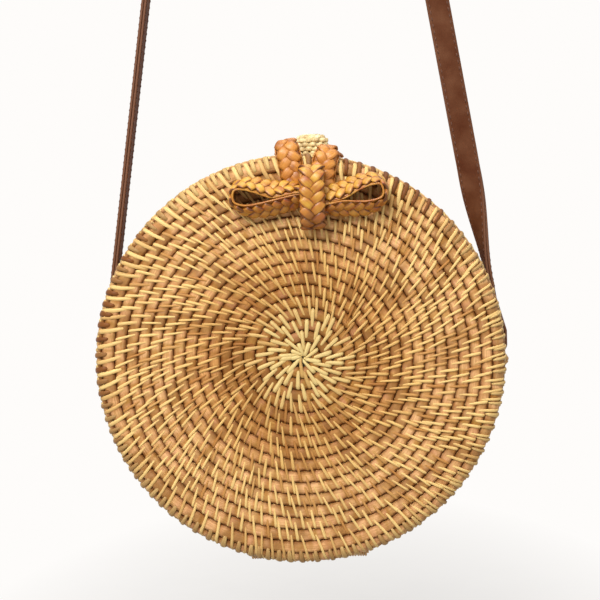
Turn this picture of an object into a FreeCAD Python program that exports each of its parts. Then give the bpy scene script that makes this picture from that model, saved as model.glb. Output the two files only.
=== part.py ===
import FreeCAD, Part
import math
import os

# Circle bag: a round drum of coiled rattan in two halves that open on rods at the bottom.
# Frame: +X to the right seen from the front, +Y from the front to the back, +Z up.
# The origin is the middle of the drum, on the seam between the halves, level with the strap rings.

# Driving sizes in millimetres and degrees
SIZES = {
    "bag_radius": 100.0,        # outside radius of the drum
    "half_depth": 40.0,         # seam to outer face, each half
    "row_pitch": 5.6,           # coil row to coil row
    "row_tube": 2.6,            # radius of one coil row
    "row_crown": 1.2,           # height of a row above the grooves
    "row_flat": 0.3,            # how far the face rows are pressed flat
    "eye_groove": 0.6,          # groove round the eye of the spiral
    "shell_thick": 5.4,         # panel and wall thickness
    "rim_width": 6.0,           # mouth row, along the depth
    "rim_proud": 0.4,           # mouth row beyond the drum's radius
    "seam_gap": 0.6,            # between the two mouth rows
    "fit_gap": 0.3,             # clearance between neighbours
    "run_gap": 0.05,            # radial clearance on rods and pegs
    "lining_thick": 1.0,
    "lining_inset": 1.5,        # lining edge behind the seam
    "hinge_x": 22.0,            # middle of each hinge from the centre
    "hinge_drop": 4.2,          # rod axis below the mouth rows
    "rod_radius": 1.5,
    "rod_overhang": 1.0,
    "eye_radius": 3.4,
    "eye_width": 5.0,
    "eye_gap": 0.4,             # between neighbouring hinge eyes
    "ring_clear": 1.3,          # ring's front leg behind the mouth row
    "ring_fall": 8.0,           # ring centre below the drum's centre
    "ring_play": 2.0,           # strap's edges to the ring's inside
    "ring_wire": 1.4,
    "ring_leg": 2.4,
    "strap_width": 12.0,
    "strap_layer": 1.4,         # one of the two leather layers
    "strap_stand": 0.7,         # strap off the wall at the ring
    "strap_lean": 9.1,          # strands lean inwards, degrees
    "strap_join": 20.0,         # length over which the two layers come together
    "arch_radius": 30.5,        # bend at the top of the strap
    "twist_start": 11.0,        # right strand, from the join of the layers
    "twist_length": 71.0,
    "twist_flat": 128.0,        # stretch that faces the front
    "untwist_length": 110.0,
    "rivet_rise": 7.0,          # above the join of the layers
    "rivet_post": 1.5,
    "rivet_cap": 3.2,
    "rivet_cap_thick": 0.7,
    "clasp_x": 8.3,             # clasp and bow, right of the middle
    "knob_depth": 12.0,         # knob behind the seam
    "knob_radius": 8.3,
    "knob_height": 10.8,
    "knob_round": 3.5,
    "knob_rise": 0.5,           # underside above the drum
    "peg_radius": 3.0,
    "peg_socket": 6.0,          # peg inside the knob
    "band_thick": 3.0,          # plaited band
    "band_width": 11.5,
    "clasp_axis_drop": 5.0,     # line where the band bends, below the drum's top
    "clasp_corner": 6.5,        # bend over the drum's top edge
    "crest_clear": 4.0,         # under the band at the drum's top edge
    "rear_clear": 1.2,          # under the band behind the knob
    "clasp_root_gap": 0.5,      # half gap between the strands at the bend line
    "clasp_crest_gap": 2.2,     # half gap between the strands at the top edge
    "clasp_knob_gap": 0.9,      # band off the knob's side
    "clasp_knob_slack": 2.9,    # band off the knob's rear
    "anchor_length": 25.0,
    "anchor_width": 20.0,
    "bow_drop": 20.5,           # middle of the bow below the drum's top
    "bow_reach": 37.0,          # knot middle to loop end
    "bow_loop_tall": 21.4,      # at the panel
    "bow_mouth_tall": 11.8,     # at the front edge
    "bow_mouth_inset": 1.5,     # front edge drawn in at the loop's end
    "bow_stand": 10.0,          # depth of the loops
    "knot_width": 14.0,
    "knot_tall": 27.0,
    "knot_depth": 11.0,
    "knot_round": 4.0,
    "lashing_radius": 1.2,
    "lashing_spread": 12.0,
    "lashing_sink": 3.5,        # into the knot
}

X_AXIS = FreeCAD.Vector(1, 0, 0)
Y_AXIS = FreeCAD.Vector(0, 1, 0)
Z_AXIS = FreeCAD.Vector(0, 0, 1)
UPRIGHT = FreeCAD.Rotation()
ALONG_X = FreeCAD.Rotation(Y_AXIS, 90)
TO_BACK = FreeCAD.Rotation(X_AXIS, -90)
TO_FRONT = FreeCAD.Rotation(X_AXIS, 90)
RING_TURN = FreeCAD.Rotation(FreeCAD.Vector(1, 1, 1), 120)   # axis to X, open side down

doc = FreeCAD.newDocument("circle_bag")
sheet = doc.addObject("Spreadsheet::Sheet", "sizes")
for row, (alias, value) in enumerate(SIZES.items(), start=1):
    sheet.set(f"A{row}", alias)
    sheet.set(f"B{row}", str(value))
    sheet.setAlias(f"B{row}", alias)
doc.recompute()

sub_parts = []


def size(alias):
    """One driving size, read back from the sheet."""
    return float(sheet.get(alias))


def bind(obj, **expressions):
    """Bind properties of an object to the sheet; x, y and z are the placement's base."""
    for prop, text in expressions.items():
        path = f"Placement.Base.{prop}" if prop in ("x", "y", "z") else prop
        words = text
        for alias in sorted(SIZES, key=len, reverse=True):
            words = words.replace(f"[{alias}]", f"sizes.{alias}")
        obj.setExpression(path, words)
    return obj


def primitive(kind, name, turn=UPRIGHT, **expressions):
    obj = doc.addObject(kind, name)
    obj.Placement = FreeCAD.Placement(FreeCAD.Vector(), turn)
    return bind(obj, **expressions)


def cylinder(name, turn, radius, length, **place):
    return primitive("Part::Cylinder", name, turn, Radius=radius, Height=length, **place)


def fuse(name, shapes):
    obj = doc.addObject("Part::MultiFuse", name)
    obj.Shapes = shapes
    obj.Refine = True
    return obj


def cut(name, base, tools):
    """Cut one or several tools out of a base."""
    obj = doc.addObject("Part::Cut", name)
    obj.Base = base
    obj.Tool = tools[0] if len(tools) == 1 else fuse(f"{name}_tools", tools)
    return obj


def common(name, first, second):
    obj = doc.addObject("Part::Common", name)
    obj.Base = first
    obj.Tool = second
    return obj


def shaped(name, shape):
    """A feature whose shape is worked out here from the sheet's sizes."""
    obj = doc.addObject("Part::Feature", name)
    obj.Shape = shape
    obj.Placement = FreeCAD.Placement()
    return obj


def finish(label, obj):
    """Name a finished sub-part; the label is also its file's name."""
    obj.Label = label
    sub_parts.append(obj)
    return obj


def depth(side, text):
    """A distance from the seam, to the front (-1) or to the back (+1)."""
    return f"{side} * ({text})"


# The drum: panels, walls, mouth rows and linings
PANEL_INNER = "[half_depth] - [shell_thick]"
RIM_OUTER = "[seam_gap] / 2 + [rim_width]"
WALL_SPAN = f"({PANEL_INNER} - [seam_gap] / 2 - [rim_width])"
SHELL_INNER = "[bag_radius] - [shell_thick]"


def coil_row(name, side, ring_radius, tube, place):
    turn = TO_FRONT if side < 0 else TO_BACK
    return primitive("Part::Torus", name, turn, Radius1=ring_radius, Radius2=tube, y=depth(side, place))


def tube(name, side, outer, inner, start, length):
    turn = TO_FRONT if side < 0 else TO_BACK
    outside = cylinder(f"{name}_outside", turn, outer, length, y=depth(side, start))
    inside = cylinder(f"{name}_inside", turn, inner, length, y=depth(side, start))
    return cut(f"{name}_tube", outside, [inside])


def panel(name, side):
    """A flat disc with a pressed coil row on it for each turn of the spiral."""
    turn = TO_FRONT if side < 0 else TO_BACK
    start = depth(side, PANEL_INNER)
    disc = cylinder(f"{name}_disc", turn, "[bag_radius] - [row_crown]", "[shell_thick] - [row_crown]", y=start)
    rows = int(size("bag_radius") / size("row_pitch") - 0.5)
    pieces = [disc]
    for row in range(rows):
        radius = f"[bag_radius] - [row_tube] - {row} * [row_pitch]"
        height = "[half_depth] + [row_flat] - [row_tube]"
        pieces.append(coil_row(f"{name}_row_{row}", side, radius, "[row_tube]", height))
    eye_radius = f"[bag_radius] - {rows} * [row_pitch] - [eye_groove]"
    pieces.append(cylinder(f"{name}_eye", turn, eye_radius, "[shell_thick]", y=start))
    press = cylinder(f"{name}_press", turn, "[bag_radius] + [row_pitch]", "[shell_thick]", y=start)
    return common(f"{name}_pressed", fuse(f"{name}_rows", pieces), press)


def wall(name, side):
    """The drum's side: a plain tube with evenly spread coil rows."""
    pieces = [tube(name, side, "[bag_radius] - [row_crown]", SHELL_INNER, RIM_OUTER, WALL_SPAN)]
    span = size("half_depth") - size("shell_thick") - size("seam_gap") / 2 - size("rim_width")
    rows = max(1, int(span / size("row_pitch")))
    for row in range(rows):
        place = f"{RIM_OUTER} + {WALL_SPAN} * {row + 0.5} / {rows}"
        pieces.append(coil_row(f"{name}_row_{row}", side, "[bag_radius] - [row_tube]", "[row_tube]", place))
    return fuse(f"{name}_rows", pieces)


def rim(name, side):
    """The mouth row, a little thicker than the wall's rows."""
    ring = tube(name, side, "[bag_radius] - [row_crown]", SHELL_INNER, "[seam_gap] / 2", "[rim_width]")
    radius = "[bag_radius] + [rim_proud] - [rim_width] / 2"
    row = coil_row(f"{name}_row", side, radius, "[rim_width] / 2", "([seam_gap] + [rim_width]) / 2")
    return fuse(f"{name}_rows", [ring, row])


def lining(name, side):
    """A cloth cup inside the half."""
    turn = TO_FRONT if side < 0 else TO_BACK
    outer = f"{SHELL_INNER} - [fit_gap]"
    reach = f"{PANEL_INNER} - [fit_gap] - [lining_inset]"
    start = depth(side, "[lining_inset]")
    cup = cylinder(f"{name}_cup", turn, outer, reach, y=start)
    hollow = cylinder(f"{name}_hollow", turn, f"{outer} - [lining_thick]", f"{reach} - [lining_thick]", y=start)
    return cut(f"{name}_cloth", cup, [hollow])


# Holes shared by the drum and what passes through it
def ring_legs(name, x_sign, clearance):
    """The two legs of a strap ring, or the holes for them, through the back wall."""
    legs = []
    turn = ALONG_X if x_sign > 0 else FreeCAD.Rotation(Y_AXIS, -90)
    length = f"{RING_X} + [ring_leg] - ({SHELL_INNER})"
    for leg_sign in (-1, 1):
        legs.append(cylinder(f"{name}_leg_{leg_sign + 1}", turn, f"[ring_leg] + {clearance}", length,
                             x=f"{x_sign} * ({SHELL_INNER})",
                             y=f"{RING_DEPTH} + {leg_sign} * {RING_RADIUS}", z="-[ring_fall]"))
    return legs


def knob_peg(name, clearance):
    return cylinder(name, UPRIGHT, f"[peg_radius] + {clearance}",
                    "[shell_thick] + [knob_rise] + [peg_socket]",
                    x="[clasp_x]", y="[knob_depth]", z=SHELL_INNER)


def lashings(name, clearance):
    """Two splints through the knot, the band behind it and the front panel."""
    splints = []
    for lash_sign in (-1, 1):
        splints.append(cylinder(f"{name}_{lash_sign + 1}", TO_FRONT, f"[lashing_radius] + {clearance}",
                                "[shell_thick] + 2 * [fit_gap] + [band_thick] + [lashing_sink]",
                                x="[clasp_x]", y=f"-({PANEL_INNER})",
                                z=f"{BOW_Z} + {lash_sign} * [lashing_spread] / 2"))
    return splints


RING_X = "([bag_radius] + [strap_stand] + [strap_layer] + [fit_gap] + [ring_wire])"
RING_RADIUS = "([strap_width] / 2 + [ring_play] + [ring_wire])"
RING_DEPTH = f"({RIM_OUTER} + [ring_clear] + [ring_leg] + {RING_RADIUS})"
BOW_Z = "([bag_radius] - [bow_drop])"

finish("front_panel", cut("front_panel_holed", panel("front_panel", -1), lashings("panel_lash_hole", "[run_gap]")))
finish("front_wall", wall("front_wall", -1))
finish("front_rim", rim("front_rim", -1))
finish("front_lining", lining("front_lining", -1))

# The legs run close to the back panel, so its edge makes room for them as the wall does
wall_holes = [knob_peg("wall_peg_hole", "[run_gap]")]
panel_holes = []
for x_sign, word in ((-1, "left"), (1, "right")):
    wall_holes += ring_legs(f"wall_hole_{word}", x_sign, "[run_gap]")
    panel_holes += ring_legs(f"panel_hole_{word}", x_sign, "[run_gap]")
finish("back_panel", cut("back_panel_holed", panel("back_panel", 1), panel_holes))
finish("back_wall", cut("back_wall_holed", wall("back_wall", 1), wall_holes))
finish("back_rim", rim("back_rim", 1))
finish("back_lining", lining("back_lining", 1))

# The hinges: wound eyes on two rods under the drum
HINGE_Z = "-([bag_radius] + [rim_proud] + [hinge_drop])"
EYE_STEP = "([eye_width] + [eye_gap])"


def hinge_eye(name, x_sign, step, side):
    """One eye on the rod, with a leg that seats under its half's mouth row."""
    left_edge = f"{x_sign} * [hinge_x] + {step} * {EYE_STEP} - [eye_width] / 2"
    barrel = cylinder(f"{name}_barrel", ALONG_X, "[eye_radius]", "[eye_width]", x=left_edge, z=HINGE_Z)
    low_side = "[seam_gap] / 2" if side > 0 else "-[seam_gap] / 2 - [rim_width]"
    leg = primitive("Part::Box", f"{name}_leg", Length="[eye_width]", Width="[rim_width]",
                    Height="[hinge_drop] + [row_pitch]", x=left_edge, y=low_side, z=HINGE_Z)
    bore = cylinder(f"{name}_bore", ALONG_X, "[rod_radius] + [run_gap]", "[eye_width]", x=left_edge, z=HINGE_Z)
    seat = cylinder(f"{name}_seat", TO_BACK, "[bag_radius] + [rim_proud] + [fit_gap]", "4 * [rim_width]",
                    y="-2 * [rim_width]")
    return cut(f"{name}_wound", fuse(f"{name}_body", [barrel, leg]), [bore, seat])


for x_sign, word in ((-1, "left"), (1, "right")):
    finish(f"front_hinge_eye_{word}", hinge_eye(f"front_eye_{word}", x_sign, 0, -1))
    pair = doc.addObject("Part::Compound", f"back_eyes_{word}")
    pair.Links = [hinge_eye(f"back_eye_{word}_{step + 1}", x_sign, step, 1) for step in (-1, 1)]
    finish(f"back_hinge_eyes_{word}", pair)
    rod_length = f"2 * {EYE_STEP} + [eye_width] + 2 * [rod_overhang]"
    rod = cylinder(f"rod_{word}", ALONG_X, "[rod_radius]", rod_length,
                   x=f"{x_sign} * [hinge_x] - ({rod_length}) / 2", z=HINGE_Z)
    finish(f"hinge_rod_{word}", rod)

# The strap rings: half rings that stand off the wall on two legs
for x_sign, word in ((-1, "left"), (1, "right")):
    arch = primitive("Part::Torus", f"ring_arch_{word}", RING_TURN, Radius1=RING_RADIUS, Radius2="[ring_wire]",
                     x=f"{x_sign} * {RING_X}", y=RING_DEPTH, z="-[ring_fall]")
    arch.Angle3 = 180
    finish(f"strap_ring_{word}", fuse(f"ring_{word}", [arch] + ring_legs(f"ring_{word}", x_sign, "0")))

# The clasp's knob and its peg
knob_body = cylinder("knob_body", UPRIGHT, "[knob_radius]", "[knob_height]",
                     x="[clasp_x]", y="[knob_depth]", z="[bag_radius] + [knob_rise]")
doc.recompute()
knob_rounded = doc.addObject("Part::Fillet", "knob_rounded")
knob_rounded.Base = knob_body
round_edges = [number for number, edge in enumerate(knob_body.Shape.Edges, start=1) if edge.isClosed()]
knob_rounded.Edges = [(number, size("knob_round"), size("knob_round")) for number in round_edges]
finish("clasp_knob", cut("knob_bored", knob_rounded, [knob_peg("knob_peg_hole", "[run_gap]")]))
finish("knob_peg", knob_peg("peg", "0"))


# Points and outlines for the pieces below, in the drum's frame
def point(x, y, z):
    return FreeCAD.Vector(x, y, z)


def closed_face(edges):
    return Part.Face(Part.Wire(Part.__sortEdges__(edges)))


def line(start, end):
    return Part.LineSegment(start, end).toShape()


def arc(start, middle, end):
    return Part.Arc(start, middle, end).toShape()


# The plaited clasp band: up the face, over the top edge and round the knob
band_half = size("band_thick") / 2
clasp_x = size("clasp_x")
clasp_y = -(size("half_depth") + size("fit_gap") + band_half)
clasp_z = size("bag_radius") - size("clasp_axis_drop")
crest_y = clasp_y + size("clasp_corner")
crest_z = size("bag_radius") + size("crest_clear") + band_half
corner_z = crest_z - size("clasp_corner")
rear_y = size("knob_depth") + size("knob_radius") + size("clasp_knob_slack") + size("band_width")
rear_z = size("bag_radius") + size("rear_clear") + band_half


def band_sheet():
    """The band's bent side profile, as wide as the whole loop, with a round lower end."""
    outer_r = size("clasp_corner") + band_half
    inner_r = size("clasp_corner") - band_half
    half_turn = math.sqrt(0.5)
    outer_mid = point(0, crest_y - outer_r * half_turn, corner_z + outer_r * half_turn)
    inner_mid = point(0, crest_y - inner_r * half_turn, corner_z + inner_r * half_turn)
    front_low = point(0, clasp_y - band_half, clasp_z)
    front_high = point(0, clasp_y - band_half, corner_z)
    back_low = point(0, clasp_y + band_half, clasp_z)
    back_high = point(0, clasp_y + band_half, corner_z)
    top_front = point(0, crest_y, crest_z + band_half)
    top_rear = point(0, rear_y, rear_z + band_half)
    under_rear = point(0, rear_y, rear_z - band_half)
    under_front = point(0, crest_y, crest_z - band_half)
    edges = [
        arc(back_low, point(0, clasp_y, clasp_z - band_half), front_low),
        line(front_low, front_high),
        arc(front_high, outer_mid, top_front),
        line(top_front, top_rear),
        line(top_rear, under_rear),
        line(under_rear, under_front),
        arc(under_front, inner_mid, back_high),
        line(back_high, back_low),
    ]
    reach = 2 * (size("knob_radius") + size("band_width") + size("clasp_knob_gap"))
    sheet_face = closed_face(edges)
    sheet_face.translate(point(clasp_x - reach / 2, 0, 0))
    return sheet_face.extrude(point(reach, 0, 0))


def clasp_loop_shape():
    """Two strands that part like a V and meet behind the knob."""
    width = size("band_width")
    root_gap = size("clasp_root_gap")
    crest_gap = size("clasp_crest_gap")
    knob_gap = size("knob_radius") + size("clasp_knob_gap")
    knob_y = size("knob_depth")
    bend_y = rear_y - width - knob_gap
    low = clasp_z - 2 * band_half
    high = crest_z + 2 * band_half
    masks = []
    for strand in (-1, 1):
        corners = [
            point(clasp_x + strand * root_gap, crest_y, low),
            point(clasp_x + strand * (root_gap + width), crest_y, low),
            point(clasp_x + strand * (crest_gap + width), crest_y, high),
            point(clasp_x + strand * crest_gap, crest_y, high),
        ]
        front_mask = Part.Face(Part.makePolygon(corners + corners[:1]))
        masks.append(front_mask.extrude(point(0, -4 * size("clasp_corner"), 0)))
    outlines = []
    for gap_front, gap_rear in ((crest_gap + width, knob_gap + width), (crest_gap, knob_gap)):
        front_left = point(clasp_x - gap_front, crest_y, low)
        front_right = point(clasp_x + gap_front, crest_y, low)
        side_left = point(clasp_x - gap_rear, knob_y, low)
        side_right = point(clasp_x + gap_rear, knob_y, low)
        bend_left = point(clasp_x - gap_rear, bend_y, low)
        bend_right = point(clasp_x + gap_rear, bend_y, low)
        edges = [
            line(front_right, front_left),
            line(front_left, side_left),
            line(side_left, bend_left),
            arc(bend_left, point(clasp_x, bend_y + gap_rear, low), bend_right),
            line(bend_right, side_right),
            line(side_right, front_right),
        ]
        outlines.append(closed_face(edges).extrude(point(0, 0, high - low)))
    masks.append(outlines[0].cut(outlines[1]))
    sheet_solid = band_sheet()
    strands = [sheet_solid.common(mask) for mask in masks]
    return strands[0].multiFuse(strands[1:]).removeSplitter().Solids[0]


finish("clasp_loop", shaped("clasp_band", clasp_loop_shape()))

# The band's lower end lies flat behind the bow
BAND_FACE = "-([half_depth] + [fit_gap] + [band_thick])"
ANCHOR_TOP = "[bag_radius] - [clasp_axis_drop] - [band_thick] / 2 - [fit_gap]"
anchor_body = primitive("Part::Box", "anchor_body", Length="[anchor_width]", Width="[band_thick]",
                        Height="[anchor_length]", x="[clasp_x] - [anchor_width] / 2", y=BAND_FACE,
                        z=f"{ANCHOR_TOP} - [anchor_length]")
finish("clasp_anchor", cut("anchor_holed", anchor_body, lashings("anchor_lash_hole", "[run_gap]")))

# The bow: a knot and two loops that narrow towards the front
knot_body = primitive("Part::Box", "knot_body", Length="[knot_width]", Width="[knot_depth]", Height="[knot_tall]",
                      x="[clasp_x] - [knot_width] / 2", y=f"{BAND_FACE} - [fit_gap] - [knot_depth]",
                      z=f"{BOW_Z} - [knot_tall] / 2")
doc.recompute()
knot_rounded = doc.addObject("Part::Fillet", "knot_rounded")
knot_rounded.Base = knot_body
knot_front = knot_body.Shape.BoundBox.YMin
front_edges = [
    number for number, edge in enumerate(knot_body.Shape.Edges, start=1)
    if edge.BoundBox.XLength > edge.BoundBox.ZLength and abs(edge.BoundBox.YMax - knot_front) < size("fit_gap")
]
knot_rounded.Edges = [(number, size("knot_round"), size("knot_round")) for number in front_edges]
finish("bow_knot", cut("knot_holed", knot_rounded, lashings("knot_lash_hole", "[run_gap]")))
splints = doc.addObject("Part::Compound", "bow_splints")
splints.Links = lashings("bow_splint", "0")
finish("bow_lashing", splints)

bow_z = size("bag_radius") - size("bow_drop")


def teardrop(x_sign, reach, tall, y):
    """A closed outline with its point at the knot's middle and a round outer end."""
    radius = tall / 2
    centre = reach - radius
    lean = math.asin(radius / centre)
    touch_x = centre - radius * math.sin(lean)
    touch_z = radius * math.cos(lean)
    middle = bow_z

    def at(x, z):
        return point(clasp_x + x_sign * x, y, middle + z)

    tip = at(0, 0)
    edges = [
        line(tip, at(touch_x, touch_z)),
        arc(at(touch_x, touch_z), at(reach, 0), at(touch_x, -touch_z)),
        line(at(touch_x, -touch_z), tip),
    ]
    return Part.Wire(edges)


def bow_loop(x_sign):
    """A plaited ring, wide at the panel and narrower at its front edge."""
    thick = size("band_thick")
    back_y = -(size("half_depth") + size("fit_gap"))
    front_y = back_y - size("bow_stand")
    reach = size("bow_reach")
    front_reach = reach - size("bow_mouth_inset")
    tall = size("bow_loop_tall")
    mouth = size("bow_mouth_tall")
    outside = Part.makeLoft([teardrop(x_sign, reach, tall, back_y),
                             teardrop(x_sign, front_reach, mouth, front_y)], True, True)
    inside = Part.makeLoft([teardrop(x_sign, reach - thick, tall - 2 * thick, back_y),
                            teardrop(x_sign, front_reach - thick, mouth - 2 * thick, front_y)], True, True)
    knot_half = size("knot_width") / 2
    knot_zone = Part.makeBox(2 * knot_half, 4 * size("bow_stand"), 2 * tall,
                             point(clasp_x - knot_half, front_y - size("bow_stand"), bow_z - tall))
    anchor_half = size("anchor_width") / 2 + size("fit_gap")
    anchor_front = thick + size("fit_gap")
    anchor_zone = Part.makeBox(2 * anchor_half, anchor_front, 2 * tall,
                               point(clasp_x - anchor_half, back_y - anchor_front, bow_z - tall))
    return outside.cut(inside).cut(knot_zone).cut(anchor_zone).Solids[0]


for x_sign, word in ((-1, "left"), (1, "right")):
    finish(f"bow_loop_{word}", shaped(f"bow_band_{word}", bow_loop(x_sign)))

# The strap: a doubled leather strip from ring to ring, with a hole for each rivet
layer = size("strap_layer")
half_width = size("strap_width") / 2
lean = math.radians(size("strap_lean"))
ring_x = (size("bag_radius") + size("strap_stand") + layer + size("fit_gap") + size("ring_wire"))
rim_outer = size("seam_gap") / 2 + size("rim_width")
ring_hole = half_width + size("ring_play")
ring_y = rim_outer + size("ring_clear") + size("ring_leg") + ring_hole + size("ring_wire")
eye_half = size("ring_wire") + size("fit_gap")
fold_z = math.sqrt(ring_hole ** 2 - half_width ** 2) - size("ring_fall") + size("ring_wire")
part_z = ring_hole + 2 * size("ring_wire") + size("fit_gap") - size("ring_fall")
join_x = ring_x - size("strap_join") * math.tan(lean)
join_z = part_z + size("strap_join")
strand_length = (join_x - size("arch_radius") * math.cos(lean)) / math.sin(lean)


def strand_point(x_sign, along, outward=0.0):
    """A point on a strand's middle line, or off it along the leather's face normal."""
    x = join_x - along * math.sin(lean) + outward * math.cos(lean)
    z = join_z + along * math.cos(lean) + outward * math.sin(lean)
    return point(x_sign * x, ring_y, z)


def strap_fold(x_sign):
    """The two layers part round the ring's wire and meet below it."""
    def at(x, z):
        return point(x_sign * x, ring_y - half_width, z)

    def outline(reach, top_left, top_right):
        edges = [
            line(top_left, at(ring_x - reach, part_z)),
            line(at(ring_x - reach, part_z), at(ring_x - reach, fold_z)),
            arc(at(ring_x - reach, fold_z), at(ring_x, fold_z - reach), at(ring_x + reach, fold_z)),
            line(at(ring_x + reach, fold_z), at(ring_x + reach, part_z)),
            line(at(ring_x + reach, part_z), top_right),
        ]
        if top_left != top_right:
            edges.append(line(top_right, top_left))
        return closed_face(edges)

    shift = point(0, -half_width, 0)
    outside = outline(eye_half + layer, strand_point(x_sign, 0, -layer) + shift,
                      strand_point(x_sign, 0, layer) + shift)
    meeting = strand_point(x_sign, -layer) + shift
    inside = outline(eye_half, meeting, meeting)
    return outside.cut(inside).extrude(point(0, 2 * half_width, 0))


def strand_section(x_sign, along, twist):
    """The strap's section, turned about the strand by the twist in degrees."""
    middle = strand_point(x_sign, along)
    normal = point(x_sign * math.cos(lean), 0, math.sin(lean))
    turn = FreeCAD.Rotation(point(-x_sign * math.sin(lean), 0, math.cos(lean)), twist)
    thick_way = turn.multVec(normal) * layer
    wide_way = turn.multVec(Y_AXIS) * half_width
    corners = [middle + wide_way + thick_way, middle - wide_way + thick_way,
               middle - wide_way - thick_way, middle + wide_way - thick_way]
    return Part.makePolygon(corners + corners[:1])


def right_strand_stations():
    """Place and twist of the right strand's sections: it turns to the front and back again."""
    steps = 6
    start = size("twist_start")
    flat_start = start + size("twist_length")
    flat_end = flat_start + size("twist_flat")
    stations = [(0, 0)]
    for step in range(steps + 1):
        stations.append((start + size("twist_length") * step / steps, 90 * step / steps))
    for step in range(steps + 1):
        stations.append((flat_end + size("untwist_length") * step / steps, 90 - 90 * step / steps))
    stations.append((strand_length, 0))
    return stations


def strap_shape():
    left = Part.makeLoft([strand_section(-1, along, 0) for along in (0, strand_length)], True, True)
    right = Part.makeLoft([strand_section(1, along, twist) for along, twist in right_strand_stations()], True, True)
    arch_z = strand_point(1, strand_length, -size("arch_radius")).z
    arch_face = Part.Face(strand_section(1, strand_length, 0))
    arch = arch_face.revolve(point(0, ring_y, arch_z), point(0, -1, 0), 180 - 2 * size("strap_lean"))
    strap = left.multiFuse([arch, right, strap_fold(-1), strap_fold(1)]).removeSplitter()
    for x_sign in (-1, 1):
        strap = strap.cut(rivet_post(x_sign, size("run_gap")))
    return strap.Solids[0]


def rivet_direction(x_sign):
    return point(x_sign * math.cos(lean), 0, math.sin(lean))


def rivet_post(x_sign, clearance):
    """The rivet's post through both layers, or the hole for it."""
    start = strand_point(x_sign, size("rivet_rise"), -layer)
    return Part.makeCylinder(size("rivet_post") + clearance, 2 * layer, start, rivet_direction(x_sign))


def rivet(x_sign):
    cap_thick = size("rivet_cap_thick")
    inner_cap = Part.makeCylinder(size("rivet_cap"), cap_thick,
                                  strand_point(x_sign, size("rivet_rise"), -layer - cap_thick),
                                  rivet_direction(x_sign))
    outer_cap = Part.makeCylinder(size("rivet_cap"), cap_thick,
                                  strand_point(x_sign, size("rivet_rise"), layer), rivet_direction(x_sign))
    return rivet_post(x_sign, 0).multiFuse([inner_cap, outer_cap]).removeSplitter()


finish("shoulder_strap", shaped("strap_leather", strap_shape()))
for x_sign, word in ((-1, "left"), (1, "right")):
    finish(f"strap_rivet_{word}", shaped(f"rivet_{word}", rivet(x_sign)))

# Every object and sub-part is sound before anything is written
doc.recompute()
for obj in doc.Objects:
    if "Invalid" in obj.State or "Error" in obj.State:
        raise RuntimeError(f"{obj.Name} did not compute: {obj.State}")
for obj in sub_parts:
    if obj.Shape.isNull() or not obj.Shape.isValid() or not obj.Shape.Solids:
        raise RuntimeError(f"{obj.Label} has no sound shape")

os.makedirs("parts", exist_ok=True)
for obj in sub_parts:
    obj.Shape.exportStep(f"parts/{obj.Label}.step")
    print(f"{obj.Label}: {len(obj.Shape.Solids)} solid(s), {obj.Shape.Volume:.0f} mm3")
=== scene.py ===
import bisect
import math
import random

import bmesh
import bpy
from mathutils import Matrix, Vector


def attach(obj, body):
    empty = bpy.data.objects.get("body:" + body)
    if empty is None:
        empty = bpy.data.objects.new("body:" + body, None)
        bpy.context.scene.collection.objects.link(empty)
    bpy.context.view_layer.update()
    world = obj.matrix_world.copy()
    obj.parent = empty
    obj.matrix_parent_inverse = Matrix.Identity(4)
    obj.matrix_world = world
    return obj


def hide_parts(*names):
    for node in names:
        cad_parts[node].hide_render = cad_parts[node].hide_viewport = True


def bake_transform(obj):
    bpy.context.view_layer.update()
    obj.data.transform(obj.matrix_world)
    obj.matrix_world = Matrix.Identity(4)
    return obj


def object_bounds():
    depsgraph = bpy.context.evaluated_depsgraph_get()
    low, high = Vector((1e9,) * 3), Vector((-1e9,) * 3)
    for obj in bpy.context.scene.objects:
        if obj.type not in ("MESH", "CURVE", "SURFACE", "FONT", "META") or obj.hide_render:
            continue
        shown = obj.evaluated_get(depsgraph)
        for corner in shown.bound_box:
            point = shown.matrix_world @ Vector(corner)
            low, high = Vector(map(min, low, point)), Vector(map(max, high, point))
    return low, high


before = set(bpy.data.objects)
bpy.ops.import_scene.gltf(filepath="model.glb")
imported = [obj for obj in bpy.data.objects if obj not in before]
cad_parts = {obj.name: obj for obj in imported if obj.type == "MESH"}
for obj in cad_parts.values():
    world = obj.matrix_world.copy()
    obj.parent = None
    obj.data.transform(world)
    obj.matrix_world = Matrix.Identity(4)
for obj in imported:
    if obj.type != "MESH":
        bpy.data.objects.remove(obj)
cad_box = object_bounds()

TAU = 2 * math.pi
MM = 0.001
FORWARD = Vector((0, -1, 0))
BACKWARD = Vector((0, 1, 0))
SIDES = (("left", -1), ("right", 1))

# The drum, in metres: coil rows are worked flat as (reach from the eye, turn, height) and rolled up
PITCH = 5.6 * MM                # coil row to coil row
ROW_HALF = 2.3 * MM             # half thickness of the flattened coil
FACE_DEPTH = 37.0 * MM          # middle of the face rows from the seam
CORNER = 3.5 * MM               # bend from the face to the wall
FACE_REACH = 93.8 * MM          # radius where the face starts to bend
RIM_MIDDLE = 3.3 * MM           # middle of the mouth row from the seam
RIM_HALF = 3.0 * MM
RIM_WRAPS = 124                 # turns of splint round each mouth row
EYE_REACH = 3.3 * MM            # first coil turn from the eye
EYE_SHIFT = (1.5 * MM, 2.0 * MM)
START_ANGLE = math.pi           # the spiral starts left of the eye
FIRST_STITCHES = 9              # stitches in the first turn
STITCH_SPACING = 6.1 * MM
STITCH_LEAN = 0.2               # sideways per length, a little more away from the eye
SWELL_LOW = 0.8                 # coil height under a stitch, as a share

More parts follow.
